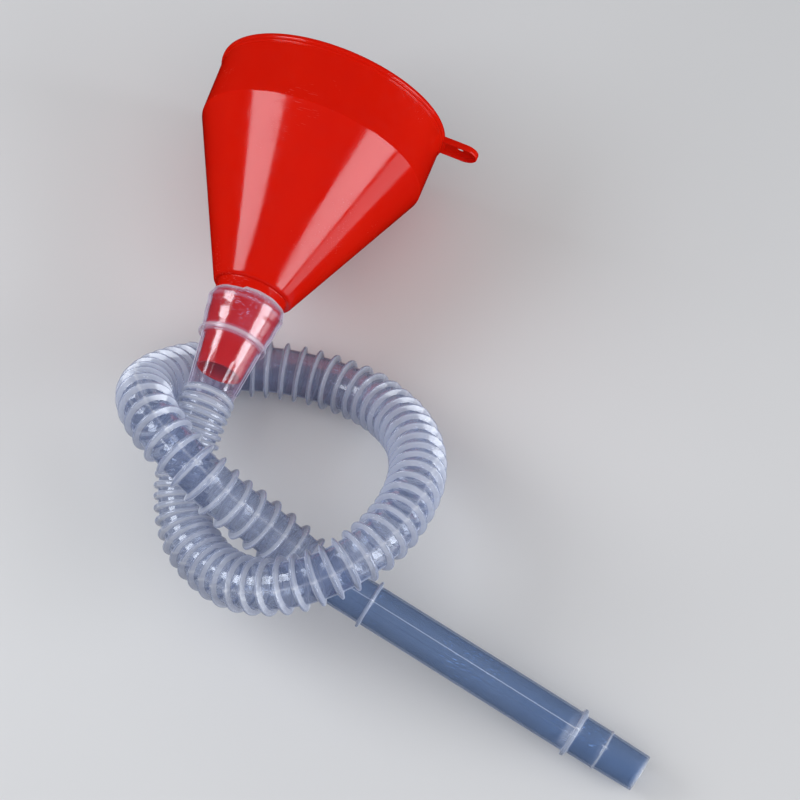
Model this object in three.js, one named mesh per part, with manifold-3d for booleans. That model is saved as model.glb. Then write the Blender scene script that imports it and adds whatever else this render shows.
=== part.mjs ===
// A moulded funnel lying on its side, with a clear pleated hose pushed over its spout.
// The hose is tied in one loose overhand knot and ends in a straight, stepped outlet tube.
// Millimetres, +Z up. The surface it lies on is z = 0, and the funnel's axis points along +Y, out of
// its mouth.
import * as THREE from 'three';
import { mergeVertices } from 'three/addons/utils/BufferGeometryUtils.js';
import Module from 'manifold-3d';

const wasm = await Module();
wasm.setup();

// ---- Driving dimensions ----
const RIM_R = 67.5; // outside of the rim's bead, which touches the surface
const TAB_REACH = 20; // how far the hanging tab stands out past the rim, along X
const TAB_TURN = 6.6; // degrees that the tab has rolled down round the funnel's axis
const FUNNEL_LENGTH = 180; // rim face to spout end
const BAND_DEPTH = 37; // straight band below the rim
const BASE_DEPTH = 129; // rim face to the foot of the cone
const BASE_R = 22.8;
const NECK_R = 20.2;
const STEP_DEPTH = 160.5; // where the spout steps in
const SPOUT_END_R = 13;
const WALL = 1.6;

const CUFF_TOP_DEPTH = 136;
const CUFF_END_DEPTH = 193;
const CUFF_END_R = 13.8;
const CUFF_WALL = 1.4;

const PLEAT_R = 15.8; // over the hose's pleats
const PLEAT_BORE_R = 14.3; // leaves the hose its real weight as a plain tube
const SWING_PLEATS = 27; // length of the last, freely bending pleats

const OUTLET_R = 12.1;
const OUTLET_WALL = 1.3;
const OUTLET_BEAD_R = 14.4;
const OUTLET_TIP_R = 10.75;

const GAP = 0.3; // between neighbouring solids
const ROUND_SIDES = 48;
const TUBE_SIDES = 28;
const HOSE_SIDES = 12;
const HOSE_STEP = 10; // length of one straight piece of the hose
const ARC_STEPS = 2; // straight pieces in a rounded corner

// The funnel's bounding box is centred on x = 0 and y = 0, so the tab pushes the axis to one side.
const AXIS_X = -TAB_REACH / 2;
const RIM_Y = FUNNEL_LENGTH / 2;

// The hose's route, from the cuff to the outlet tube: over its own first stretch, down to the
// surface under the neck, up the far side and under itself.
const HOSE_ROUTE = [
  [AXIS_X, RIM_Y - CUFF_END_DEPTH, RIM_R],
  [AXIS_X, -113, RIM_R],
  [-10, -127, 64],
  [-8, -152, 55],
  [2, -174, 50],
  [21, -191, 53],
  [43, -200, 63],
  [65, -199, 74],
  [87, -188, 82],
  [104, -169, 84],
  [113, -146, 79],
  [115, -122, 70],
  [111, -101, 57],
  [101, -82, 44],
  [85, -67, 31],
  [64, -57, 21.5],
  [39, -54, 17],
  [14, -56.5, 16.4],
  [-9.5, -63.5, 17.2],
  [-29, -76, 26.5],
  [-40, -94, 46],
  [-44, -111, 64],
  [-37, -128, 83],
  [-20, -144, 92],
  [2, -156, 90.5],
  [24, -163, 80],
  [45, -166, 67],
  [66, -170.5, 55],
  [80, -174.5, 49],
  [91, -176.5, 47],
].map((p) => new THREE.Vector3(...p));
const OUTLET_START = HOSE_ROUTE.at(-1);
const OUTLET_TIP = new THREE.Vector3(280, -210, 11);

// ---- Helpers ----
function material(name, color, roughness, options = {}) {
  return new THREE.MeshStandardMaterial({ name, color, roughness, metalness: 0, ...options });
}

// A closed outline through [radius, depth, rounding] corners. Rounded corners become short arcs.
function outline(corners) {
  const points = [];
  corners.forEach(([r, d, rounding = 0], i) => {
    const corner = new THREE.Vector2(r, d);
    if (!rounding) {
      points.push(corner);
      return;
    }
    const [pr, pd] = corners[(i + corners.length - 1) % corners.length];
    const [nr, nd] = corners[(i + 1) % corners.length];
    const back = new THREE.Vector2(pr, pd).sub(corner).normalize();
    const ahead = new THREE.Vector2(nr, nd).sub(corner).normalize();
    const inward = back.clone().add(ahead).normalize();
    const halfAngle = Math.acos(THREE.MathUtils.clamp(back.dot(ahead), -1, 1)) / 2;
    const reach = rounding / Math.tan(halfAngle);
    const centre = corner.clone().addScaledVector(inward, rounding / Math.sin(halfAngle));
    const from = corner.clone().addScaledVector(back, reach).sub(centre);
    const to = corner.clone().addScaledVector(ahead, reach).sub(centre);
    const turn = Math.atan2(from.cross(to), from.dot(to));
    for (let k = 0; k <= ARC_STEPS; k++) {
      points.push(from.clone().rotateAround(new THREE.Vector2(), (turn * k) / ARC_STEPS).add(centre));
    }
  });
  points.push(points[0].clone());
  return points;
}

// A ring-shaped solid turned about +Y, whose depths are measured back from y = 0 along -Y.
function turned(corners, sides) {
  const profile = outline(corners).map((p) => new THREE.Vector2(p.x, -p.y));
  return new THREE.LatheGeometry(profile.reverse(), sides);
}

function toManifold(geometry) {
  const bare = geometry.clone();
  bare.deleteAttribute('normal');
  bare.deleteAttribute('uv');
  const merged = mergeVertices(bare, 1e-4);
  const mesh = new wasm.Mesh({
    numProp: 3,
    vertProperties: new Float32Array(merged.attributes.position.array),
    triVerts: new Uint32Array(merged.index.array),
  });
  return new wasm.Manifold(mesh);
}

function fromManifold(solid) {
  const { vertProperties, triVerts } = solid.getMesh();
  const geometry = new THREE.BufferGeometry();
  geometry.setAttribute('position', new THREE.BufferAttribute(new Float32Array(vertProperties), 3));
  geometry.setIndex(new THREE.BufferAttribute(new Uint32Array(triVerts), 1));
  geometry.computeVertexNormals();
  return geometry;
}

// A shape drawn in the rim's plane (x across, y along Z), extruded back from depth `from` to depth `to`.
function plate(shape, from, to) {
  const settings = { depth: to - from, bevelEnabled: false, curveSegments: 12 };
  const geometry = new THREE.ExtrudeGeometry(shape, settings);
  geometry.rotateX(Math.PI / 2);
  return geometry.translate(0, -from, 0);
}

function polygon(radius, sides) {
  return Array.from({ length: sides }, (_, i) => {
    const angle = (i * 2 * Math.PI) / sides;
    return new THREE.Vector2(radius * Math.cos(angle), radius * Math.sin(angle));
  });
}

function placedOnAxis(mesh) {
  mesh.position.set(AXIS_X, RIM_Y, RIM_R);
  return mesh;
}

// ---- Funnel ----
function funnelShell() {
  const beadDepth = 3;
  const bandR = RIM_R - 1.2;
  const shoulderR = RIM_R - 1.7;
  const coneSlope = (shoulderR - BASE_R) / (BASE_DEPTH - BAND_DEPTH);
  const coneWall = WALL * Math.hypot(1, coneSlope);
  const insideBaseDepth = BASE_DEPTH - WALL;
  const insideBaseR = BASE_R - coneWall + WALL * coneSlope;
  const stageEndR = 16.6;
  const stepR = 15.3;
  return turned([
    [bandR - WALL, 0, 0.5],
    [RIM_R, 0, 0.8],
    [RIM_R, beadDepth, 0.8],
    [bandR, beadDepth],
    [shoulderR, BAND_DEPTH, 5],
    [BASE_R, BASE_DEPTH, 3],
    [NECK_R, BASE_DEPTH],
    [NECK_R, CUFF_TOP_DEPTH],
    [stageEndR, STEP_DEPTH, 0.6],
    [stepR, STEP_DEPTH],
    [SPOUT_END_R, FUNNEL_LENGTH],
    [SPOUT_END_R - WALL, FUNNEL_LENGTH],
    [stepR - WALL, STEP_DEPTH - WALL],
    [stageEndR - WALL, STEP_DEPTH - WALL],
    [NECK_R - WALL, CUFF_TOP_DEPTH],
    [NECK_R - WALL, insideBaseDepth],
    [insideBaseR, insideBaseDepth],
    [shoulderR - coneWall, BAND_DEPTH, 4],
  ], ROUND_SIDES);
}

const TAB_HALF_WIDTH = 8;
const TAB_END = (RIM_R + TAB_REACH - TAB_HALF_WIDTH) / Math.cos(THREE.MathUtils.degToRad(TAB_TURN));

// The tab's outline, from inside the rim's wall to its round end, inset all round by `inset`.
function tabOutline(inset) {
  const endR = TAB_HALF_WIDTH - inset;
  const rootX = RIM_R - 2 + inset * 2;
  const shape = new THREE.Shape();
  shape.moveTo(rootX, -endR);
  shape.lineTo(TAB_END, -endR);
  shape.absarc(TAB_END, 0, endR, -Math.PI / 2, Math.PI / 2, false);
  shape.lineTo(rootX, endR);
  shape.closePath();
  return shape;
}

function hangingTab() {
  const edgeDepth = 3.6;
  const edgeWall = 1.4;
  const holeR = 2.4;
  const hole = new THREE.Shape().absarc(RIM_R + TAB_REACH / 2, 0, holeR, 0, Math.PI * 2, false);
  return toManifold(plate(tabOutline(0), 0, edgeDepth))
    .subtract(toManifold(plate(tabOutline(edgeWall), WALL, edgeDepth + 1)))
    .subtract(toManifold(plate(hole, -1, edgeDepth)))
    .rotate([0, TAB_TURN, 0]);
}

function funnelBody() {
  const solid = toManifold(funnelShell()).add(hangingTab());
  const mesh = new THREE.Mesh(fromManifold(solid), material('funnel_red', 0xc81810, 0.22));
  mesh.name = 'funnel_body';
  return placedOnAxis(mesh);
}

// ---- Drop-in strainer, on the ledge at the foot of the cone ----
const LEDGE_DEPTH = BASE_DEPTH - WALL;
const STRAINER_RING_R = 21.2;
const STRAINER_RING_BORE_R = 18.9;

function strainerRing() {
  const height = 5;
  const foot = LEDGE_DEPTH - GAP;
  const geometry = turned([
    [STRAINER_RING_BORE_R, foot - height, 0.4],
    [STRAINER_RING_R, foot - height, 0.4],
    [STRAINER_RING_R, foot],
    [STRAINER_RING_BORE_R, foot],
  ], ROUND_SIDES);
  const mesh = new THREE.Mesh(geometry, material('strainer_red', 0xb01610, 0.35));
  mesh.name = 'strainer_ring';
  return placedOnAxis(mesh);
}

function strainerGauze() {
  const thickness = 0.6;
  const radius = STRAINER_RING_BORE_R - GAP;
  const geometry = new THREE.CylinderGeometry(radius, radius, thickness, ROUND_SIDES);
  geometry.translate(0, -(LEDGE_DEPTH - 2.5), 0);
  const mesh = new THREE.Mesh(geometry, material('gauze_brass', 0xb08d4a, 0.4, { metalness: 1 }));
  mesh.name = 'strainer_gauze';
  return placedOnAxis(mesh);
}

// ---- Hose ----
const CLEAR = { transparent: true, opacity: 0.55 };

function hoseCuff() {
  const flangeDepth = 158.5;
  const flangeR = 19.8;
  const flangeWidth = 2.6;
  const topR = 22.2;
  const upperEndR = 18.7;
  const lowerTopR = 17.5;
  const geometry = turned([
    [topR - CUFF_WALL, CUFF_TOP_DEPTH, 0.3],
    [topR, CUFF_TOP_DEPTH, 0.6],
    [upperEndR, flangeDepth],
    [flangeR, flangeDepth, 0.8],
    [flangeR, flangeDepth + flangeWidth, 0.8],
    [lowerTopR, flangeDepth + flangeWidth],
    [CUFF_END_R, CUFF_END_DEPTH],
    [CUFF_END_R - CUFF_WALL, CUFF_END_DEPTH],
    [lowerTopR - CUFF_WALL, flangeDepth + flangeWidth + WALL],
    [upperEndR - CUFF_WALL, flangeDepth + flangeWidth],
  ], ROUND_SIDES);
  const mesh = new THREE.Mesh(geometry, material('hose_clear', 0xc9d3e6, 0.25, CLEAR));
  mesh.name = 'hose_cuff';
  return placedOnAxis(mesh);
}

const hoseCurve = new THREE.CatmullRomCurve3(HOSE_ROUTE, false, 'centripetal');
hoseCurve.arcLengthDivisions = 1000;

// The part of the hose's route between two lengths along it.
class Stretch extends THREE.Curve {
  constructor(from, to) {
    super();
    this.from = from;
    this.to = to;
  }

  getPoint(t, target = new THREE.Vector3()) {
    return hoseCurve.getPointAt((this.from + (this.to - this.from) * t) / hoseCurve.getLength(), target);
  }
}

function hoseTube(name, from, to) {
  const section = new THREE.Shape(polygon(PLEAT_R, HOSE_SIDES));
  section.holes.push(new THREE.Path(polygon(PLEAT_BORE_R, HOSE_SIDES)));
  const steps = Math.ceil((to - from) / HOSE_STEP);
  const geometry = new THREE.ExtrudeGeometry(section, { steps, extrudePath: new Stretch(from, to) });
  const mesh = new THREE.Mesh(geometry, material('hose_clear', 0xc9d3e6, 0.3, CLEAR));
  mesh.name = name;
  return mesh;
}

function outletTube() {
  const ringAt = 22;
  const endBeadAt = 153;
  const thinRingAt = 171;
  const bead = 1.3; // half of a bead's width
  const middleR = 11.5; // between the end bead and the thin ring
  const thinRingR = 11.9;
  const endR = 11.1; // past the thin ring
  const length = OUTLET_TIP.distanceTo(OUTLET_START);
  const geometry = turned([
    [OUTLET_R - OUTLET_WALL, GAP],
    [OUTLET_R, GAP],
    [OUTLET_R, ringAt - bead],
    [OUTLET_BEAD_R, ringAt - bead, 0.8],
    [OUTLET_BEAD_R, ringAt + bead, 0.8],
    [OUTLET_R, ringAt + bead],
    [OUTLET_R, endBeadAt - bead],
    [OUTLET_BEAD_R, endBeadAt - bead, 0.8],
    [OUTLET_BEAD_R, endBeadAt + bead, 0.8],
    [middleR, endBeadAt + bead],
    [middleR, thinRingAt - bead],
    [thinRingR, thinRingAt],
    [endR, thinRingAt + bead],
    [OUTLET_TIP_R, length],
    [OUTLET_TIP_R - OUTLET_WALL, length],
    [endR - OUTLET_WALL, thinRingAt + bead],
    [middleR - OUTLET_WALL, endBeadAt + bead],
    [OUTLET_R - OUTLET_WALL, endBeadAt - bead],
  ], TUBE_SIDES);
  const mesh = new THREE.Mesh(geometry, material('hose_clear', 0xb9c6dc, 0.2, CLEAR));
  mesh.name = 'outlet_tube';
  const forward = OUTLET_TIP.clone().sub(OUTLET_START).normalize();
  mesh.quaternion.setFromUnitVectors(new THREE.Vector3(0, -1, 0), forward);
  mesh.position.copy(OUTLET_START);
  return mesh;
}

// ---- Assembly ----
const hoseLength = hoseCurve.getLength();
const swingStart = hoseLength - SWING_PLEATS;

const funnel = new THREE.Group();
funnel.add(funnelBody(), strainerRing(), strainerGauze());
funnel.add(hoseCuff());
funnel.add(hoseTube('bellows_hose', GAP, swingStart - GAP));
funnel.add(hoseTube('bellows_end', swingStart, hoseLength));
funnel.add(outletTube());

export default funnel;
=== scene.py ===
"""A red moulded funnel lying on its side, its clear pleated hose tied in one loose knot.

The funnel, cuff, pleats, outlet tube and strainer are all rings swept along a straight axis or along
the hose's route. Lengths are in metres, in the CAD model's frame, and sizes marked MM are millimetres.
"""
import math
import random

import bpy
import numpy as np
from mathutils import Matrix, Vector


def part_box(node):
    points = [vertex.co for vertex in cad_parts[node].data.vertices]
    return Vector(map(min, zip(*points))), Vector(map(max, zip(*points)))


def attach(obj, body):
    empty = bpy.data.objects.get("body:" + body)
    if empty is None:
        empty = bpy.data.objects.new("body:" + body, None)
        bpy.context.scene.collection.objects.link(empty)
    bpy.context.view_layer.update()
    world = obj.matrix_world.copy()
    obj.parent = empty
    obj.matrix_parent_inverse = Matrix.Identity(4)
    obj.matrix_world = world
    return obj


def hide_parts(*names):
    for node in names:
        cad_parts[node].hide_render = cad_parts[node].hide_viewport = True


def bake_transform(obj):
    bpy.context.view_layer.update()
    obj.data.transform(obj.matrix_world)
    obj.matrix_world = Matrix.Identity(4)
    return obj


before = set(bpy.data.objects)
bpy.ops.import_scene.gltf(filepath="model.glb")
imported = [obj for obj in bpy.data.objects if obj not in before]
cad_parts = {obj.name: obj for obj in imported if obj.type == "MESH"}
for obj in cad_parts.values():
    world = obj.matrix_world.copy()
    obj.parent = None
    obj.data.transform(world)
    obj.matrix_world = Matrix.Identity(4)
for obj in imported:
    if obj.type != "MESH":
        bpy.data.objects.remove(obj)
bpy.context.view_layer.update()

MM = 0.001
FUNNEL_LOW, FUNNEL_HIGH = (Vector(corner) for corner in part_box("funnel_body"))

# ---- Driving dimensions, in millimetres, as the CAD model has them ----
RIM_R = (FUNNEL_HIGH.z - FUNNEL_LOW.z) / 2 / MM
TAB_REACH = (FUNNEL_HIGH.x - FUNNEL_LOW.x) / MM - 2 * RIM_R
TAB_TURN = math.radians(6.6)  # how far the tab has rolled down round the funnel's axis
FUNNEL_LENGTH = (FUNNEL_HIGH.y - FUNNEL_LOW.y) / MM
RIM_CENTRE = Vector((FUNNEL_LOW.x + RIM_R * MM, FUNNEL_HIGH.y, RIM_R * MM))
BAND_DEPTH = 37
BASE_DEPTH = 129
BASE_R = 22.8
NECK_R = 20.2
STEP_DEPTH = 160.5
SPOUT_END_R = 13
WALL = 1.6
CUFF_TOP_DEPTH = 136
CUFF_END_DEPTH = 193
CUFF_END_R = 13.8
CUFF_WALL = 1.2
FIN_R = 16.2  # over the hose's pulled-out pleats, which are thin fins
ROLL_R = 15.3  # over the pleats by the cuff, which are pushed together into round rolls
ROLLS_END = 58
HOSE_R = 12.7  # the wall between them
HOSE_WALL = 0.45
SWING_PLEATS = 27  # length of the last pleats, built as a piece of their own
OUTLET_R = 12.1
OUTLET_WALL = 1.1
OUTLET_BEAD_R = 14.4
OUTLET_TIP_R = 10.75

# The hose's route from the cuff to the outlet tube, as the CAD model has it.
HOSE_ROUTE = [
    (-0.010, -0.103, 0.0675), (-0.010, -0.113, 0.0675), (-0.010, -0.127, 0.064), (-0.008, -0.152, 0.055),
    (0.002, -0.174, 0.050), (0.021, -0.191, 0.053), (0.043, -0.200, 0.063), (0.065, -0.199, 0.074),
    (0.087, -0.188, 0.082), (0.104, -0.169, 0.084), (0.113, -0.146, 0.079), (0.115, -0.122, 0.070),
    (0.111, -0.101, 0.057), (0.101, -0.082, 0.044), (0.085, -0.067, 0.031), (0.064, -0.057, 0.0215),
    (0.039, -0.054, 0.017), (0.014, -0.0565, 0.0164), (-0.0095, -0.0635, 0.0172), (-0.029, -0.076, 0.0265),
    (-0.040, -0.094, 0.046), (-0.044, -0.111, 0.064), (-0.037, -0.128, 0.083), (-0.020, -0.144, 0.092),
    (0.002, -0.156, 0.0905), (0.024, -0.163, 0.080), (0.045, -0.166, 0.067), (0.066, -0.1705, 0.055),
    (0.080, -0.1745, 0.049), (0.091, -0.1765, 0.047),
]
OUTLET_TIP = Vector((0.280, -0.210, 0.011))


# ---- Paths that rings are threaded on ----
class Line:
    """A straight axis. The place of a ring is its distance from the start, in millimetres."""

    def __init__(self, start, along, across):
        self.start = np.array(start)
        self.along = np.array(Vector(along).normalized())
        square = np.array(across) - self.along * np.dot(across, self.along)
        self.across = square / np.linalg.norm(square)
        self.aside = np.cross(self.along, self.across)

    def at(self, place):
        return self.start + self.along * place * MM, self.across, self.aside


class Route:
    """A smooth curve through points, with a frame carried along it without twisting."""

    def __init__(self, points, steps=24):
        self.line = self.smooth(np.array(points), steps)
        gaps = np.linalg.norm(np.diff(self.line, axis=0), axis=1)
        self.places = np.concatenate([[0], np.cumsum(gaps)]) / MM
        self.length = self.places[-1]
        tangents = np.gradient(self.line, self.places, axis=0)
        self.tangents = tangents / np.linalg.norm(tangents, axis=1)[:, None]
        self.normals = self.carry(np.array((0.0, 0.0, 1.0)))

    @staticmethod
    def smooth(points, steps):
        """A centripetal Catmull-Rom curve, the same as the CAD model's."""
        ends = np.vstack([2 * points[0] - points[1], points, 2 * points[-1] - points[-2]])
        curve = []
        for p0, p1, p2, p3 in zip(ends, ends[1:], ends[2:], ends[3:]):
            d0, d1, d2 = (math.sqrt(np.linalg.norm(b - a)) for a, b in ((p0, p1), (p1, p2), (p2, p3)))
            out = ((p1 - p0) / d0 - (p2 - p0) / (d0 + d1) + (p2 - p1) / d1) * d1
            into = ((p2 - p1) / d1 - (p3 - p1) / (d1 + d2) + (p3 - p2) / d2) * d1
            for k in range(steps):
                t = k / steps
                curve.append(p1 + out * t + (3 * (p2 - p1) - 2 * out - into) * t**2
                             + (2 * (p1 - p2) + out + into) * t**3)
        return np.array(curve + [points[-1]])

    def carry(self, normal):
        normals = []
        for tangent in self.tangents:
            normal = normal - tangent * np.dot(normal, tangent)
            normal = normal / np.linalg.norm(normal)
            normals.append(normal)
        return np.array(normals)

    def along(self, table, place):
        return np.array([np.interp(place, self.places, table[:, axis]) for axis in range(3)])

    def at(self, place):
        tangent = self.along(self.tangents, place)
        tangent /= np.linalg.norm(tangent)
        across = self.along(self.normals, place)
        across -= tangent * np.dot(across, tangent)
        across /= np.linalg.norm(across)
        return self.along(self.line, place), across, np.cross(tangent, across)


FUNNEL_AXIS = Line(RIM_CENTRE, (0, -1, 0), (1, 0, 0))
HOSE = Route(HOSE_ROUTE)
OUTLET_START = Vector(HOSE_ROUTE[-1])
OUTLET_AXIS = Line(OUTLET_START, OUTLET_TIP - OUTLET_START, (0, 0, 1))
OUTLET_LENGTH = (OUTLET_TIP - OUTLET_START).length / MM
SWING_START = HOSE.length - SWING_PLEATS


# ---- Shapes ----
def rounded(corners, steps=6):
    """A closed outline through (radius, place, rounding) corners, as (place, radius) points."""
    points = []
    for index, (radius, place, *roundings) in enumerate(corners):
        corner = Vector((place, radius))
        if not roundings:
            points.append(corner)
            continue
        rounding = roundings[0]
        back = (Vector(corners[index - 1][1::-1]) - corner).normalized()
        ahead = (Vector(corners[(index + 1) % len(corners)][1::-1]) - corner).normalized()
        half_angle = back.angle(ahead) / 2
        centre = corner + (back + ahead).normalized() * rounding / math.sin(half_angle)
        start = corner + back * rounding / math.tan(half_angle) - centre
        end = corner + ahead * rounding / math.tan(half_angle) - centre
        for k in range(steps + 1):
            points.append(centre + start.slerp(end, k / steps).normalized() * rounding)
    return [tuple(point) for point in points]


def divided(outline, longest):
    """The same outline with no step longer than that."""
    points = []
    for start, end in zip(outline, outline[1:] + outline[:1]):
        parts = max(1, math.ceil(math.dist(start, end) / longest))
        points += [tuple(a + (b - a) * k / parts for a, b in zip(start, end)) for k in range(parts)]
    return points


def ring_solid(name, path, outline, sides, shape=None, fold=None):
    """A closed solid of rings threaded on a path.

    Shape turns (place, radius, angle) into how far the point moves forward and outward. Fold turns them
    into how thick or folded, and so how white, the plastic is there, from 0 to 1.
    """
    angles = [2 * math.pi * side / sides for side in range(sides)]
    vertices = []
    for place, radius in outline:
        centre, across, aside = path.at(place)
        along = np.cross(across, aside)
        for angle in angles:
            forward, out = shape(place, radius, angle) if shape else (0, 0)
            spoke = across * math.cos(angle) + aside * math.sin(angle)
            vertices.append(centre + (spoke * (radius + out) + along * forward) * MM)
    faces = []
    for ring in range(len(outline)):
        here, ahead = ring * sides, (ring + 1) % len(outline) * sides
        for side in range(sides):
            turn = (side + 1) % sides
            faces.append((here + side, here + turn, ahead + turn, ahead + side))
    piece = mesh_piece(name, vertices, faces)
    if fold:
        folds = [share(fold(place, radius, angle)) for place, radius in outline for angle in angles]
        piece.data.attributes.new("fold", "FLOAT", "POINT").data.foreach_set("value", folds)
    return piece


def mesh_piece(name, vertices, faces, sharp_angle=38):
    mesh = bpy.data.meshes.new(name)
    mesh.from_pydata([tuple(vertex) for vertex in vertices], [], faces)
    mesh.polygons.foreach_set("use_smooth", [True] * len(mesh.polygons))
    mesh.set_sharp_from_angle(angle=math.radians(sharp_angle))
    mesh.update()
    piece = bpy.data.objects.new(name, mesh)
    bpy.context.scene.collection.objects.link(piece)
    return piece


def share(value):
    """The value, kept between 0 and 1."""
    return min(1, max(0, value))


def on_seam(angle, seam, half_width):
    """Whether an angle is on a parting line or on the one opposite, in degrees either side."""
    return abs((angle - seam + math.pi / 2) % math.pi - math.pi / 2) < math.radians(half_width)


# ---- Materials ----
class Shader:
    """A material with one Principled shader, and short calls to add nodes to it."""

    def __init__(self, name, **settings):
        self.material = bpy.data.materials.new(name)
        self.material.use_nodes = True
        self.tree = self.material.node_tree
        self.plastic = self.tree.nodes["Principled BSDF"]
        self.output = self.tree.nodes["Material Output"]
        for socket, value in settings.items():
            self.plastic.inputs[socket.replace("_", " ")].default_value = value
        self.place = self.add("ShaderNodeTexCoord").outputs["Object"]

    def add(self, kind, inputs=None, **properties):
        node = self.tree.nodes.new(kind)
        for key, value in properties.items():
            setattr(node, key, value)
        for key, value in (inputs or {}).items():
            if hasattr(value, "is_output"):
                self.tree.links.new(value, node.inputs[key])
            else:
                node.inputs[key].default_value = value
        return node

    def link(self, source, socket):
        self.tree.links.new(source, self.plastic.inputs[socket])

    def noise(self, scale, detail=3, stretch=(1, 1, 1), turn=(0, 0, 0)):
        place = self.add("ShaderNodeMapping", {"Vector": self.place, "Scale": stretch, "Rotation": turn})
        inputs = {"Vector": place.outputs[0], "Scale": scale, "Detail": detail}
        return self.add("ShaderNodeTexNoise", inputs).outputs["Fac"]

    def ramp(self, value, low, high, start=0.0, end=1.0):
        inputs = {"Value": value, "From Min": low, "From Max": high, "To Min": start, "To Max": end}
        return self.add("ShaderNodeMapRange", inputs).outputs["Result"]

    def mix(self, factor, first, second):
        inputs = {"Factor": factor, 6: first, 7: second}
        return self.add("ShaderNodeMix", inputs, data_type="RGBA").outputs[2]

    def blend(self, share, first, second):
        """Mixes two shaders: share says how much there is of the second one."""
        node = self.add("ShaderNodeMixShader", {"Fac": share})
        self.tree.links.new(first.outputs[0], node.inputs[1])
        self.tree.links.new(second.outputs[0], node.inputs[2])
        return node

    def show(self, shader):
        self.tree.links.new(shader.outputs[0], self.output.inputs["Surface"])

    def math(self, operation, first, second):
        return self.add("ShaderNodeMath", {0: first, 1: second}, operation=operation).outputs[0]

    def bump(self, *layers):
        """Bumps from (height, depth in metres) layers, one on top of the other."""
        normal = None
        for height, depth in layers:
            inputs = {"Height": height, "Distance": depth, "Strength": 1.0}
            if normal:
                inputs["Normal"] = normal
            normal = self.add("ShaderNodeBump", inputs).outputs["Normal"]
        self.link(normal, "Normal")
        return normal


def scratches(shader, scale, turn):
    """Fine short lines, 1 on a scratch and 0 elsewhere."""
    streaks = shader.noise(scale, detail=1, stretch=(1, 14, 14), turn=turn)
    patches = shader.noise(25, detail=2)
    lines = shader.ramp(streaks, 0.66, 0.72)
    return shader.math("MULTIPLY", lines, shader.ramp(patches, 0.48, 0.60))


def red_plastic(name, roughness, deep, bright):
    """Moulded plastic that light sinks into a little, cloudy and streaked in tone, with fine scratches."""
    shader = Shader(name, Roughness=roughness, IOR=1.5, Subsurface_Weight=0.3, Subsurface_Scale=0.004)
    shader.plastic.inputs["Subsurface Radius"].default_value = (1.0, 0.1, 0.06)
    clouds = shader.noise(14, detail=4)
    flow = shader.noise(40, detail=3, stretch=(1, 0.15, 1))
    tone = shader.math("ADD", shader.ramp(clouds, 0.3, 0.7, 0, 0.7), shader.ramp(flow, 0.3, 0.7, 0, 0.3))
    shader.link(shader.mix(tone, (*deep, 1), (*bright, 1)), "Base Color")
    first_marks = scratches(shader, 90, (0.3, 0.2, 0.9))
    second_marks = scratches(shader, 110, (0.9, 0.4, 2.3))
    marks = shader.math("MAXIMUM", first_marks, second_marks)
    dull = shader.ramp(shader.noise(180, detail=5), 0.3, 0.8, roughness - 0.03, roughness + 0.07)
    shader.link(shader.math("ADD", dull, shader.math("MULTIPLY", marks, 0.2)), "Roughness")
    shader.bump((shader.noise(220, detail=2), 2e-5), (flow, 8e-5), (marks, -3e-5))
    return shader.material


FOLD_COLOUR = (0.90, 0.92, 1.0, 1)
FOLD_TINT = (0.975, 0.98, 0.99, 1)
EDGE_WHITE = 0.85
EDGE_SPAN = 0.35
MOST_MIRROR = 0.14  # more would turn the edges black, because gloss sees only the lights


def clear_plastic(name, milk, fold_milk, thin_colour, tint, roughness, edge_start):
    """Thin clear plastic: see-through and bluish head on, white in its folds and where it's seen edge on.

    Milk and fold_milk are how opaque it is where it's flat and where it's folded. It whitens from edge_start,
    as a share of the way from head on to edge on.
    """
    shader = Shader(name, Roughness=0.4, IOR=1.5)
    clouds = shader.noise(22, detail=4)
    streaks = shader.noise(35, detail=2, stretch=(1, 1, 0.4))
    marks = scratches(shader, 140, (0.5, 0.8, 0.3))
    normal = shader.bump((shader.noise(35, detail=1), 2e-5), (marks, -2e-5))
    fold = shader.add("ShaderNodeAttribute", attribute_name="fold").outputs["Fac"]
    facing = shader.add("ShaderNodeLayerWeight", {"Blend": 0.3}).outputs["Facing"]
    edge = shader.ramp(facing, edge_start, edge_start + EDGE_SPAN)
    thin = shader.mix(clouds, (*thin_colour, 1), (*(channel + 0.08 for channel in thin_colour), 1))
    shader.link(shader.mix(shader.math("MAXIMUM", edge, fold), thin, FOLD_COLOUR), "Base Color")
    folded = shader.ramp(fold, 0, 1, milk, fold_milk)
    white = shader.math("MAXIMUM", shader.math("MULTIPLY", edge, EDGE_WHITE), folded)
    white = shader.math("ADD", white, shader.ramp(streaks, 0.4, 0.8, 0, 0.03))
    white = shader.math("ADD", white, shader.math("MULTIPLY", marks, 0.4))
    clear = shader.add("ShaderNodeBsdfTransparent", {"Color": shader.mix(fold, (*tint, 1), FOLD_TINT)})
    body = shader.blend(shader.ramp(white, 0, 1), clear, shader.plastic)
    dull = shader.ramp(shader.noise(120, detail=5), 0.3, 0.8, roughness - 0.03, roughness + 0.06)
    dull = shader.math("ADD", dull, shader.math("MULTIPLY", marks, 0.2))
    gloss = shader.add("ShaderNodeBsdfGlossy", {"Roughness": dull, "Normal": normal})
    mirror = shader.add("ShaderNodeFresnel", {"IOR": 1.6, "Normal": normal}).outputs[0]
    shader.show(shader.blend(shader.math("MINIMUM", mirror, MOST_MIRROR), body, gloss))
    return shader.material


def brass_wire():
    shader = Shader("brass_wire", Metallic=1.0)
    stain = shader.noise(260, detail=5)
    shader.link(shader.mix(stain, (0.50, 0.34, 0.14, 1), (0.83, 0.63, 0.33, 1)), "Base Color")
    shader.link(shader.ramp(stain, 0.3, 0.7, 0.5, 0.28), "Roughness")
    shader.bump((shader.noise(900, detail=2), 1e-5))
    return shader.material


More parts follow.
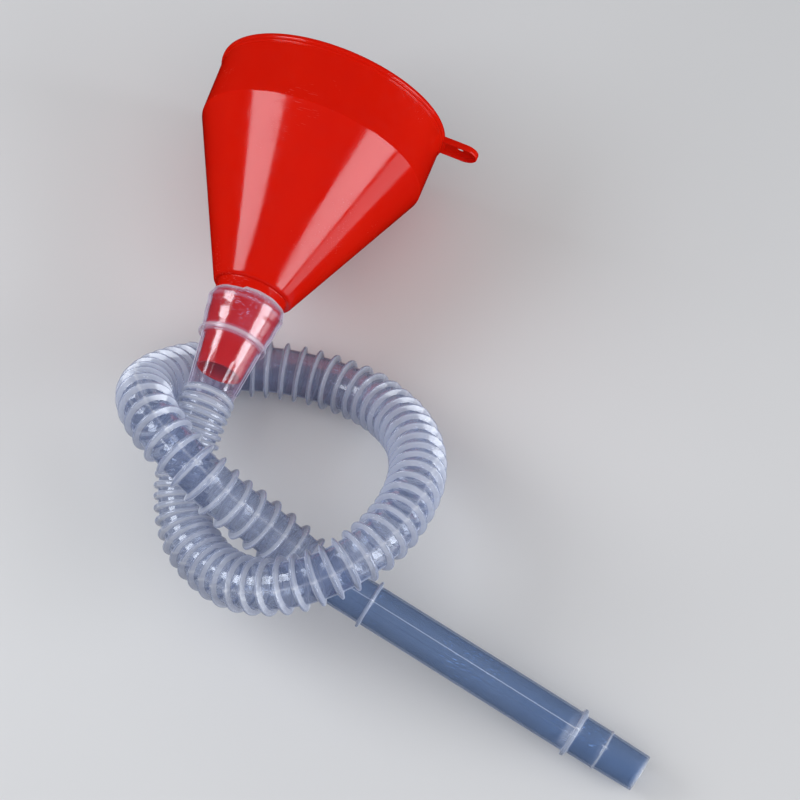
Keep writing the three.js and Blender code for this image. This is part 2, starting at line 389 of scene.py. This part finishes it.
def floor_paint():
    shader = Shader("floor_paint", Roughness=0.55)
    grain = shader.noise(6, detail=5)
    shader.link(shader.mix(grain, (0.66, 0.66, 0.67, 1), (0.69, 0.69, 0.70, 1)), "Base Color")
    return shader.material


RED = red_plastic("funnel_red", roughness=0.12, deep=(0.62, 0.007, 0.002), bright=(0.70, 0.010, 0.002))
STRAINER_RED = red_plastic("strainer_red", roughness=0.34, deep=(0.46, 0.010, 0.006),
                           bright=(0.55, 0.016, 0.008))
CLEAR_HOSE = clear_plastic("hose_clear", milk=0.08, fold_milk=0.42, thin_colour=(0.50, 0.60, 0.90),
                           tint=(0.87, 0.89, 0.93), roughness=0.06, edge_start=0.45)
CLEAR_TUBE = clear_plastic("tube_clear", milk=0.12, fold_milk=0.42, thin_colour=(0.22, 0.40, 0.80),
                           tint=(0.79, 0.825, 0.875), roughness=0.05, edge_start=0.45)
CLEAR_CUFF = clear_plastic("cuff_clear", milk=0.015, fold_milk=0.40, thin_colour=(0.80, 0.60, 1.00),
                           tint=(0.985, 0.98, 0.99), roughness=0.09, edge_start=0.42)
BRASS = brass_wire()


# ---- Camera, at the photograph's angle ----
def camera():
    azimuth, elevation = math.radians(20.3), math.radians(66.78)
    looks_at, distance = Vector((0.07938, -0.04359, 0)), 2.4
    forward = Vector((-math.sin(azimuth) * math.cos(elevation), math.cos(azimuth) * math.cos(elevation),
                      -math.sin(elevation)))
    data = bpy.data.cameras.new("camera")
    data.lens = 190.5
    data.sensor_width = 36
    seen = bpy.data.objects.new("camera", data)
    seen.location = looks_at - forward * distance
    seen.rotation_euler = forward.to_track_quat("-Z", "Y").to_euler()
    bpy.context.scene.collection.objects.link(seen)
    bpy.context.scene.camera = seen


# ---- Hose ----
# How far apart the pleats are, in millimetres, at places along the hose: pushed together at the neck,
# pulled out before the outlet tube.
PITCH = [
    (0, 5.0), (55, 5.3), (95, 7.8), (150, 9.0), (330, 8.8), (430, 9.0), (510, 8.6), (590, 10.2), (700, 10.4),
]
FIRST_PLEAT = 3.2
TUBE_SEAM = math.radians(5)  # where the mould's parting line runs, round from the top of the outlet tube


def hose_seam():
    """The angle at which the hose's parting line meets the outlet tube's."""
    _, across, aside = OUTLET_AXIS.at(0)
    seam = across * math.cos(TUBE_SEAM) + aside * math.sin(TUBE_SEAM)
    _, across, aside = HOSE.at(HOSE.length)
    return math.atan2(np.dot(seam, aside), np.dot(seam, across))


HOSE_SEAM = hose_seam()


def pleat_places():
    end_margin = 2.5
    places = []
    place = FIRST_PLEAT
    while place < HOSE.length - end_margin:
        places.append(place)
        place += float(np.interp(place, *zip(*PITCH)))
    return places


PLEATS = pleat_places()


def thinness(place):
    """0 where the pleats are round rolls, by the cuff, and 1 where they are thin fins."""
    return share((place - ROLLS_END) / 30)


def pleat_top(place):
    return ROLL_R + (FIN_R - ROLL_R) * thinness(place)


def pleat_outline(start, end):
    """Both faces of the pleated wall between two places, out along the outside and back along the inside."""
    bore = HOSE_R - HOSE_WALL
    outside, inside = [(start, HOSE_R)], [(start, bore)]
    arc = [math.radians(angle) for angle in range(-75, 76, 25)]
    for place in (p for p in PLEATS if start < p < end):
        tip = 1.55 - 0.75 * thinness(place)
        foot = 2.05 - 0.15 * thinness(place)
        centre = pleat_top(place) - tip
        hollow = max(0.12, tip - HOSE_WALL)
        outside += [(place - foot, HOSE_R), (place - foot + 0.35, HOSE_R + 0.4)]
        outside += [(place + tip * math.sin(a), centre + tip * math.cos(a)) for a in arc]
        outside += [(place + foot - 0.35, HOSE_R + 0.4), (place + foot, HOSE_R)]
        inside += [(place - foot + 0.2, bore), (place - foot + 0.6, HOSE_R - 0.1)]
        inside += [(place + hollow * math.sin(a), centre + hollow * math.cos(a)) for a in arc[::2]]
        inside += [(place + foot - 0.6, HOSE_R - 0.1), (place + foot - 0.2, bore)]
    outside.append((end, HOSE_R))
    inside.append((end, bore))
    return outside + inside[::-1]


def uneven_pleats(seed):
    """Each pleat leans and stands a little differently, and the parting line is a low ridge on both sides."""
    draw = random.Random(seed)
    leans = []
    for _ in PLEATS:
        leans.append((draw.uniform(-0.35, 0.35), draw.uniform(0, 2 * math.pi), draw.uniform(-0.15, 0.1)))

    def shape(place, radius, angle):
        nearest = min(range(len(PLEATS)), key=lambda k: abs(PLEATS[k] - place))
        lean, towards, height = leans[nearest]
        rise = max(0, (radius - HOSE_R) / (FIN_R - HOSE_R))
        ridge = 0.12 if on_seam(angle, HOSE_SEAM, 3) else 0
        return lean * rise * math.cos(angle - towards), height * rise + ridge

    return shape


def hose_stretch(name, start, end):
    """A stretch of pleats. Their side walls are the white parts, and their crests are clear."""
    def fold(place, radius, angle):
        side = min(1, (radius - HOSE_R) / 0.5)
        crest_height = 0.5 + 0.3 * thinness(place)
        crest = max(0, 1 - (pleat_top(place) - radius) / crest_height)
        return side - 0.8 * crest + (0.6 if on_seam(angle, HOSE_SEAM, 3) else 0)

    piece = ring_solid(name, HOSE, pleat_outline(start, end), 60, uneven_pleats(seed=7), fold)
    piece.data.materials.append(CLEAR_HOSE)
    return piece


def hose_pieces():
    gap = 0.3  # as in the CAD model, between neighbouring solids
    knotted = hose_stretch("pleated_hose", gap, SWING_START - gap / 2)
    last = hose_stretch("pleated_hose_end", SWING_START + gap / 2, HOSE.length - gap)
    return knotted, last


# ---- Outlet tube ----
def outlet_tube():
    ring_at, end_bead_at, thin_ring_at, bead = 22, 153, 171, 1.2
    middle_r, end_r, thin_ring_r = 11.5, 11.1, 12.0
    wall = OUTLET_WALL
    corners = [
        (OUTLET_R - wall, 0.3), (OUTLET_R, 0.3),
        (OUTLET_R, ring_at - bead, 0.5), (OUTLET_BEAD_R, ring_at - bead * 0.6, 0.6),
        (OUTLET_BEAD_R, ring_at + bead * 0.6, 0.6), (OUTLET_R, ring_at + bead, 0.5),
        (OUTLET_R, end_bead_at - bead * 1.4, 0.5), (OUTLET_BEAD_R, end_bead_at - bead * 0.7, 0.6),
        (OUTLET_BEAD_R - 0.2, end_bead_at + bead * 0.9, 0.7), (middle_r, end_bead_at + bead * 1.8, 0.5),
        (middle_r, thin_ring_at - 0.9, 0.3), (thin_ring_r, thin_ring_at - 0.3, 0.3),
        (thin_ring_r, thin_ring_at + 0.4, 0.3), (end_r, thin_ring_at + 1.0, 0.3),
        (OUTLET_TIP_R, OUTLET_LENGTH, 0.3), (OUTLET_TIP_R - wall, OUTLET_LENGTH, 0.3),
        (end_r - wall, thin_ring_at + 1.2, 0.3), (middle_r - wall, thin_ring_at - 1.2, 0.3),
        (middle_r - wall, end_bead_at + bead * 2, 0.4), (OUTLET_BEAD_R - wall * 1.4, end_bead_at + 0.6, 0.5),
        (OUTLET_BEAD_R - wall * 1.4, end_bead_at - 0.6, 0.5), (OUTLET_R - wall, end_bead_at - bead, 0.4),
        (OUTLET_R - wall, ring_at + bead, 0.4), (OUTLET_BEAD_R - wall * 1.4, ring_at + 0.4, 0.4),
        (OUTLET_BEAD_R - wall * 1.4, ring_at - 0.4, 0.4), (OUTLET_R - wall, ring_at - bead, 0.4),
    ]

    def shape(place, radius, angle):
        ridge = 0.15 if on_seam(angle, TUBE_SEAM, 1.5) else 0
        return 0, ridge + 0.08 * math.sin(2 * angle + place / 30)

    def fold(place, radius, angle):
        bead_side = min(1, (radius - OUTLET_R) / 0.8) - 0.6 * max(0, 1 - (OUTLET_BEAD_R - radius) / 0.5)
        thin_ring = 1 - abs(place - thin_ring_at) / 1.2
        smear = (0.5 + 0.3 * math.sin(3 * angle)) * (1 - abs(place - end_bead_at + 3) / 3.5)
        rim = 1 - (OUTLET_LENGTH - place) / 1.0
        return max(bead_side, thin_ring, smear, rim) + (0.8 if on_seam(angle, TUBE_SEAM, 1.8) else 0)

    outline = divided(rounded(corners, steps=4), 2.5)
    piece = ring_solid("outlet_spout", OUTLET_AXIS, outline, 120, shape, fold)
    piece.data.materials.append(CLEAR_TUBE)
    return piece


# ---- Cuff ----
def cuff():
    """The hose's stiff end, pushed over the spout. Its upper edge is trimmed unevenly, at two levels."""
    flange_depth, flange_r, flange_width = 158.5, 19.8, 2.6
    top_r, upper_end_r, lower_top_r, wall = 22.2, 18.7, 17.5, CUFF_WALL
    corners = [
        (top_r - 2.0, CUFF_TOP_DEPTH, 0.3), (top_r - 1.0, CUFF_TOP_DEPTH, 0.4),
        (top_r, CUFF_TOP_DEPTH + 3.2, 1.6), (upper_end_r, flange_depth, 0.4),
        (flange_r, flange_depth + 0.3, 0.7), (flange_r, flange_depth + flange_width, 0.9),
        (lower_top_r, flange_depth + flange_width, 0.3), (CUFF_END_R + 0.3, CUFF_END_DEPTH - 5, 2),
        (CUFF_END_R, CUFF_END_DEPTH), (CUFF_END_R - wall, CUFF_END_DEPTH),
        (CUFF_END_R + 0.3 - wall, CUFF_END_DEPTH - 5, 2),
        (lower_top_r - wall, flange_depth + flange_width + 1, 0.5),
        (upper_end_r - wall, flange_depth + flange_width - 0.6, 0.5),
        (top_r - wall, CUFF_TOP_DEPTH + 3.4, 1.6),
    ]
    cut_start, cut_end, cut_height = math.radians(-75), math.radians(95), 1.7
    flutes_start, wave_length = CUFF_END_DEPTH - 20, 10.5

    def shape(place, radius, angle):
        turn = (angle + math.pi) % (2 * math.pi) - math.pi
        into_cut = share(min(turn - cut_start, cut_end - turn) / math.radians(5))
        near_top = max(0, 1 - (place - CUFF_TOP_DEPTH) / 3)
        ragged = 0.18 * math.sin(5 * angle) + 0.1 * math.sin(13 * angle + 1)
        fluted = share((place - flutes_start) / 5) * min(1, (CUFF_END_DEPTH - place) / 3)
        buckled = share((place - CUFF_TOP_DEPTH - 3) / 3) * share((flange_depth - place) / 3)
        phase = 2 * math.pi * (place - CUFF_TOP_DEPTH) / wave_length + 0.5 * math.sin(3 * angle)
        out = 0.15 * buckled * math.sin(phase) + 0.12 * fluted * math.cos(16 * angle)
        return near_top * (ragged - cut_height * into_cut), out

    def fold(place, radius, angle):
        lip = 1 - (place - CUFF_TOP_DEPTH) / 2.5
        lip_foot = 0.7 * (1 - abs(place - CUFF_TOP_DEPTH - 4.2) / 0.8)
        flange = 1 - abs(place - flange_depth - flange_width / 2) / 2.2
        return max(lip, lip_foot, flange)

    outline = divided(rounded(corners, steps=4), 1.2)
    piece = ring_solid("clear_cuff", FUNNEL_AXIS, outline, 144, shape, fold)
    piece.data.materials.append(CLEAR_CUFF)
    return piece


# ---- Funnel ----
def funnel_shell():
    bead_depth = 2.6
    band_r = RIM_R - 1.2
    shoulder_r = RIM_R - 1.7
    slope = (shoulder_r - BASE_R) / (BASE_DEPTH - BAND_DEPTH)
    cone_wall = WALL * math.hypot(1, slope)
    inside_base_depth = BASE_DEPTH - WALL
    inside_base_r = BASE_R - cone_wall + WALL * slope
    stage_end_r, step_r = 16.6, 15.3
    corners = [
        (band_r - WALL, 0, 0.7), (RIM_R, 0, 1.1), (RIM_R, bead_depth, 0.9),
        (RIM_R - 0.7, bead_depth + 0.3, 0.2), (RIM_R - 0.6, bead_depth + 1.8, 0.5),
        (band_r, bead_depth + 2.2, 0.3),
        (shoulder_r, BAND_DEPTH, 2.2), (BASE_R, BASE_DEPTH, 2.6), (NECK_R, BASE_DEPTH, 0.5),
        (NECK_R, CUFF_TOP_DEPTH, 0.4), (stage_end_r, STEP_DEPTH, 0.6), (step_r, STEP_DEPTH + 0.3, 0.3),
        (SPOUT_END_R, FUNNEL_LENGTH, 0.5),
        (SPOUT_END_R - WALL, FUNNEL_LENGTH, 0.5), (step_r - WALL, STEP_DEPTH - WALL + 0.3, 0.3),
        (stage_end_r - WALL, STEP_DEPTH - WALL, 0.3), (NECK_R - WALL, CUFF_TOP_DEPTH, 0.4),
        (NECK_R - WALL, inside_base_depth, 0.3), (inside_base_r, inside_base_depth, 0.8),
        (shoulder_r - cone_wall, BAND_DEPTH, 3),
    ]
    return ring_solid("funnel_shell", FUNNEL_AXIS, rounded(corners), 240)


HOLE_INSET = 5


def tab_loop(inset, sides=10):
    """A closed loop round the hanging tab, seen along the funnel's axis.

    From an inset of HOLE_INSET on, it is the edge of the hole instead.
    """
    half_width, hole_r = 8, 2.4
    hole_centre = Vector((RIM_R + TAB_REACH / 2, 0))
    root_x, end_x = RIM_R - 2 + inset * 1.6, (RIM_R + TAB_REACH - half_width) / math.cos(TAB_TURN)
    end_r = half_width - inset
    arc = [math.pi * (k / (2 * sides) - 0.5) for k in range(2 * sides + 1)]
    loop = [Vector((root_x + (end_x - root_x) * k / sides, -end_r)) for k in range(sides)]
    loop += [Vector((end_x + end_r * math.cos(a), end_r * math.sin(a))) for a in arc]
    loop += [Vector((end_x + (root_x - end_x) * k / sides, end_r)) for k in range(1, sides + 1)]
    loop += [Vector((root_x, end_r - 2 * end_r * k / sides)) for k in range(1, sides)]
    if inset < HOLE_INSET:
        return loop
    return [hole_centre + (point - hole_centre).normalized() * hole_r for point in tab_loop(0, sides)]


def hanging_tab():
    """A shallow tray with a raised edge all round, which opens away from the mouth, and a hole."""
    edge_depth, edge_wall = 3.6, 1.3
    hole = HOLE_INSET + 1
    rolled = Matrix.Rotation(TAB_TURN, 4, "Y")
    profile = [(0, 0, 0.5), (0, edge_depth, 0.6), (edge_wall, edge_depth, 0.5), (edge_wall + 0.3, WALL, 0.5),
               (hole, WALL), (hole, 0)]
    vertices = []
    for depth, inset in rounded(profile, steps=4):
        loop = tab_loop(inset)
        vertices += [rolled @ Vector((point.x, -depth, point.y)) * MM + RIM_CENTRE for point in loop]
    around, rings = len(loop), len(vertices) // len(loop)
    faces = [(ring * around + side, ring * around + (side + 1) % around,
              (ring + 1) % rings * around + (side + 1) % around, (ring + 1) % rings * around + side)
             for ring in range(rings) for side in range(around)]
    return mesh_piece("hanging_tab", vertices, faces)


def unite(piece, *others):
    """Joins closed solids into one, and deletes the others."""
    for other in others:
        union = piece.modifiers.new("union", "BOOLEAN")
        union.operation, union.solver, union.object = "UNION", "MANIFOLD", other
    united = bpy.data.meshes.new_from_object(piece.evaluated_get(bpy.context.evaluated_depsgraph_get()))
    piece.modifiers.clear()
    piece.data = united
    united.materials.clear()
    united.polygons.foreach_set("material_index", [0] * len(united.polygons))
    united.set_sharp_from_angle(angle=math.radians(38))
    for other in others:
        bpy.data.objects.remove(other)


def funnel():
    piece = funnel_shell()
    unite(piece, hanging_tab())
    piece.data.materials.append(RED)
    return piece


# ---- Strainer ----
LEDGE_DEPTH = BASE_DEPTH - WALL
STRAINER_RING_R = 21.2
STRAINER_BORE_R = 18.9


def strainer_ring():
    height, foot = 5, LEDGE_DEPTH - 0.3
    corners = [
        (STRAINER_BORE_R, foot - height, 0.5), (STRAINER_RING_R, foot - height, 0.5),
        (STRAINER_RING_R, foot, 0.3), (STRAINER_BORE_R, foot, 0.3),
    ]
    piece = ring_solid("strainer_frame", FUNNEL_AXIS, rounded(corners), 144)
    piece.data.materials.append(STRAINER_RED)
    return piece


def gauze():
    """Brass wires woven over and under each other, cut to a disc."""
    pitch, wire_r, sides = 1.25, 0.17, 6
    disc_r = STRAINER_BORE_R - 0.35
    depth = LEDGE_DEPTH - 2.5
    count = int(disc_r / pitch)
    vertices, faces = [], []
    for across_x in (True, False):
        for index in range(-count, count + 1):
            offset = index * pitch
            half = math.sqrt(disc_r**2 - offset**2)
            steps = max(4, round(2 * half / (pitch / 3)))
            first = len(vertices)
            for k in range(steps + 1):
                along = -half + 2 * half * k / steps
                phase = index % 2 + (0 if across_x else 1)
                wave = wire_r * math.cos(math.pi * (along / pitch + phase))
                for side in range(sides):
                    angle = 2 * math.pi * side / sides
                    beside, lift = offset + wire_r * math.cos(angle), wave + wire_r * math.sin(angle)
                    x, z = (along, beside) if across_x else (beside, along)
                    vertices.append(Vector((x, -depth + lift, z)) * MM + RIM_CENTRE)
            for k in range(steps):
                for side in range(sides):
                    turn = (side + 1) % sides
                    ring = first + k * sides
                    faces.append((ring + side, ring + turn, ring + sides + turn, ring + sides + side))
            faces.append(tuple(first + side for side in reversed(range(sides))))
            faces.append(tuple(first + steps * sides + side for side in range(sides)))
    piece = mesh_piece("strainer_weave", vertices, faces, sharp_angle=80)
    piece.data.materials.append(BRASS)
    return piece


# ---- Studio ----
def floor():
    half = 6
    piece = mesh_piece("floor", [(-half, -half, 0), (half, -half, 0), (half, half, 0), (-half, half, 0)],
                       [(0, 1, 2, 3)])
    piece.data.materials.append(floor_paint())
    piece.visible_glossy = False  # the real object lies on a dark surface, which its gloss doesn't show


def soft_box(name, towards, distance, size, radiance, colour=(0.90, 0.94, 1.0), in_gloss=True):
    """A rectangular light whose face looks back at the object."""
    width, height = size
    data = bpy.data.lights.new(name, "AREA")
    data.shape = "RECTANGLE"
    data.size, data.size_y = width, height
    data.energy = radiance * math.pi * width * height
    data.color = colour
    lamp = bpy.data.objects.new(name, data)
    aim = Vector((0.0, -0.02, 0.06))
    direction = Vector(towards).normalized()
    lamp.location = aim + direction * distance
    lamp.rotation_euler = direction.to_track_quat("Z", "Y").to_euler()
    lamp.visible_glossy = in_gloss
    bpy.context.scene.collection.objects.link(lamp)


def studio():
    soft_box("left_box", (-0.74, -0.19, 0.62), 1.2, (0.82, 0.66), 5.0)
    soft_box("right_box", (0.90, -0.13, 0.32), 2.0, (1.47, 1.2), 5.0)
    # Under the floor, where only gloss shows it, as a glossy table would show the right box again, dimmer.
    soft_box("right_box_below", (0.90, -0.13, -0.199), 2.0, (1.47, 0.73), 1.6)
    soft_box("overhead", (0.1, -0.5, 1.0), 2.0, (2.4, 2.4), 0.66, colour=(1.0, 0.98, 0.94), in_gloss=False)
    world = bpy.data.worlds.new("studio")
    world.use_nodes = True
    world.node_tree.nodes["Background"].inputs["Color"].default_value = (1.0, 0.99, 0.97, 1)
    world.node_tree.nodes["Background"].inputs["Strength"].default_value = 0.30
    scene = bpy.context.scene
    scene.world = world
    world.cycles_visibility.glossy = False
    scene.view_settings.view_transform = "Standard"
    scene.cycles.transparent_max_bounces = 64
    scene.cycles.max_bounces = 16


# ---- Assembly ----
camera()
knotted_hose, last_pleats = hose_pieces()
spout = outlet_tube()

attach(knotted_hose, "hose")
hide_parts("bellows_hose")
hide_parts("bellows_end")
tuple(HOSE.at(SWING_START)[0])
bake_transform(last_pleats)
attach(spout, "outlet")
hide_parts("outlet_tube")

clear_cuff = cuff()
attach(clear_cuff, "cuff")
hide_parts("hose_cuff")

hose_line = [tuple(HOSE.at(place)[0]) for place in np.linspace(0.3, SWING_START, 160)]
spout_line = [tuple(OUTLET_AXIS.at(place)[0]) for place in np.linspace(0.3, OUTLET_LENGTH, 40)]

red_funnel = funnel()
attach(red_funnel, "funnel")
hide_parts("funnel_body")

ring = strainer_ring()
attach(ring, "strainer")
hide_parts("strainer_ring")
weave = gauze()
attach(weave, "strainer")
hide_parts("strainer_gauze")

floor()
studio()
